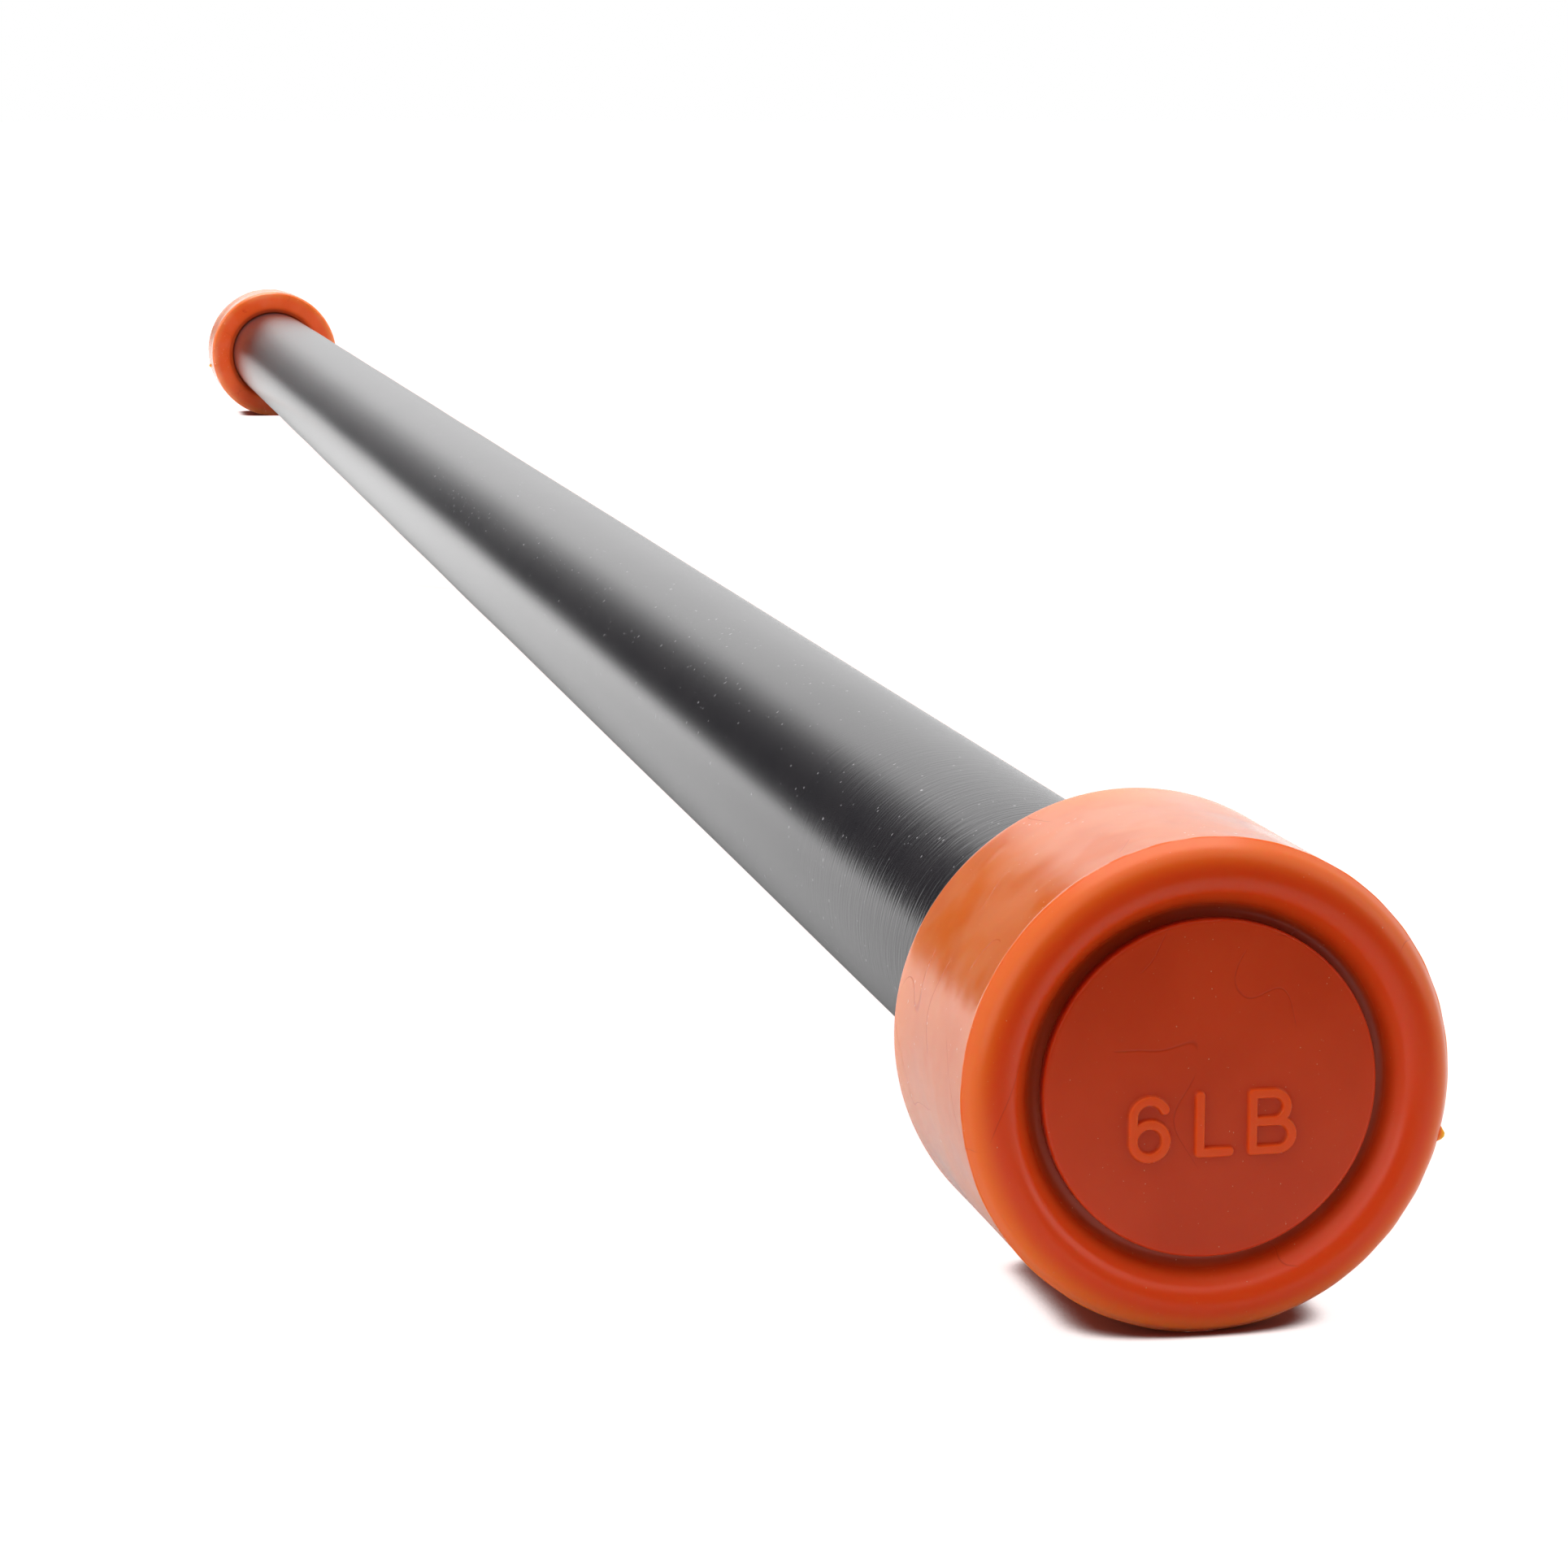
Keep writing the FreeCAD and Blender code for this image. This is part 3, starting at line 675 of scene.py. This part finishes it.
def make_floor():
    """Wide pale floor. The camera sees it white, apart from where something touches it: there
    occlusion cuts its glow and a dark reddish base colour shows, a painted contact shadow tinted
    like orange bounce light.

    To every other ray it is pale round the bar and dark in front of the right-hand cap, which is
    painted shade.
    """
    size = 200.0
    mesh = bpy.data.meshes.new("floor")
    mesh.from_pydata([(-size, -size, FLOOR_Z), (size, -size, FLOOR_Z),
                      (size, size, FLOOR_Z), (-size, size, FLOOR_Z)], [], [(0, 1, 2, 3)])
    floor = bpy.data.objects.new("floor", mesh)
    bpy.context.scene.collection.objects.link(floor)
    material, tree, shader = new_material("floor_white")
    seen = tree.nodes.new("ShaderNodeLightPath").outputs["Is Camera Ray"]
    # Dark floor in front of the right-hand cap, to every ray but the camera's: painted shade.
    front = ramp(tree, object_axes(tree)[0], 0.64, 0.76, 1.0, FLOOR_FRONT_PAINTED_SHADE)
    unseen = mix_colour(tree, front, (0, 0, 0), (FLOOR_PALE, FLOOR_PALE, FLOOR_PALE))
    tree.links.new(mix_colour(tree, seen, unseen, FLOOR_PAINTED_SHADOW_TINT), shader.inputs["Base Color"])
    shader.inputs["Roughness"].default_value = 0.9
    shader.inputs["Specular IOR Level"].default_value = 0.1
    shader.inputs["Emission Color"].default_value = (1, 1, 1, 1)
    # Occlusion cuts the floor's camera-only glow where something touches it: a painted contact
    # shadow.
    contact = tree.nodes.new("ShaderNodeAmbientOcclusion")
    contact.inputs["Distance"].default_value = 0.006
    contact.samples = 32
    clear_of_painted_shadow = ramp(tree, contact.outputs["AO"], 0.25, 0.50)
    tree.links.new(times(tree, times(tree, clear_of_painted_shadow, FLOOR_GLOW), seen),
                   shader.inputs["Emission Strength"])
    mesh.materials.append(material)


def make_world():
    """Soft studio surroundings, white to the camera.

    To every other ray they are brightest to the sides and dark beyond the right-hand cap, with a
    dark gap low down beyond the left-hand cap, which draws the dark streak along the foam.
    """
    world = bpy.data.worlds.new("studio")
    bpy.context.scene.world = world
    world.use_nodes = True
    tree = world.node_tree
    background = tree.nodes["Background"]
    source = tree.nodes.new("ShaderNodeTexCoord")
    split = tree.nodes.new("ShaderNodeSeparateXYZ")
    tree.links.new(source.outputs["Generated"], split.inputs["Vector"])
    x, y, z = (split.outputs[axis] for axis in "XYZ")

    aside = maths(tree, "ARCTAN2", y, times(tree, x, -1.0))
    gap = ramp(tree, aside, math.radians(0), math.radians(-9), 0.0, 1.0)
    gap = times(tree, gap, ramp(tree, aside, math.radians(-55), math.radians(-32)))
    gap = times(tree, gap, ramp(tree, z, 0.28, 0.58, 1.0, 0.0))
    light = times(tree, ramp(tree, x, -0.88, -0.60, SKY_BRIGHT, SKY_SIDES),
                  maths(tree, "SUBTRACT", 1.0, gap))
    light = times(tree, light, ramp(tree, x, 0.38, 0.66, 1.0, SKY_CAMERA_SIDE))
    ring = times(tree, ramp(tree, x, -0.15, 0.15, 1.0, SKY_RING),
                 ramp(tree, y, -0.7, 0.7, 1.2, 0.9))
    light = times(tree, light, ring)
    above = times(tree, ramp(tree, z, 0.35, 0.75, 0.0, SKY_ABOVE_CUT), ramp(tree, x, -0.1, 0.2))
    light = times(tree, light, maths(tree, "SUBTRACT", 1.0, above))

    seen = tree.nodes.new("ShaderNodeLightPath").outputs["Is Camera Ray"]
    unseen = maths(tree, "SUBTRACT", 1.0, seen)
    light = maths(tree, "ADD", times(tree, light, unseen), seen)
    tree.links.new(light, background.inputs["Strength"])
    background.inputs["Color"].default_value = (1, 1, 1, 1)


def make_light(name, place, target, width, depth, power):
    """A soft rectangular studio light."""
    data = bpy.data.lights.new(name, "AREA")
    data.shape = "RECTANGLE"
    data.size = width
    data.size_y = depth
    data.energy = power
    light = bpy.data.objects.new(name, data)
    bpy.context.scene.collection.objects.link(light)
    light.location = place
    light.rotation_mode = "QUATERNION"
    light.rotation_quaternion = (Vector(target) - Vector(place)).to_track_quat("-Z", "Y")
    light.visible_camera = False


def make_camera():
    """Long lens near the right-hand cap, looking along the bar and a little down.

    Its place is in cap radii from the middle of the right-hand disc.
    """
    data = bpy.data.cameras.new("camera")
    data.sensor_width = 36.0
    data.lens = CAMERA_LENS
    data.clip_start = 0.01
    data.clip_end = 1000.0
    camera = bpy.data.objects.new("camera", data)
    bpy.context.scene.collection.objects.link(camera)
    forward, right, up = CAMERA_PLACE
    camera.location = (DISC_X + forward * CAP_R, right * CAP_R, up * CAP_R)
    camera.rotation_euler = (math.radians(90) - CAMERA_DOWN, 0, CAMERA_TURN)
    bpy.context.scene.camera = camera


# ---------------------------------------------------------------------------------------------
# Build
# ---------------------------------------------------------------------------------------------

make_camera()
vinyl = make_vinyl()
make_cap("end_cap_right_piece", "end_cap_right", 1, 3, vinyl)
make_cap("end_cap_left_piece", "end_cap_left", -1, 5, vinyl)
make_foam_sleeve(make_foam())

inner_materials = {"core_tube": make_steel(), "ballast_fill": make_grit()}
inner_materials["tube_plug_left"] = inner_materials["tube_plug_right"] = make_plug_plastic()
for node_name, node_material in inner_materials.items():
    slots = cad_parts[node_name].data.materials
    if slots:
        slots[0] = node_material
    else:
        slots.append(node_material)

make_floor()
make_world()
make_light("top_softbox", (-0.35, 0.0, 1.2), (-0.35, 0.0, 0), 1.8, 1.2, 14)
make_light("back_softbox", (-0.15, -0.1, 0.6), (-0.58, 0, 0), 0.4, 0.4, 3)

scene = bpy.context.scene
scene.view_settings.view_transform = "Standard"
scene.view_settings.look = "None"
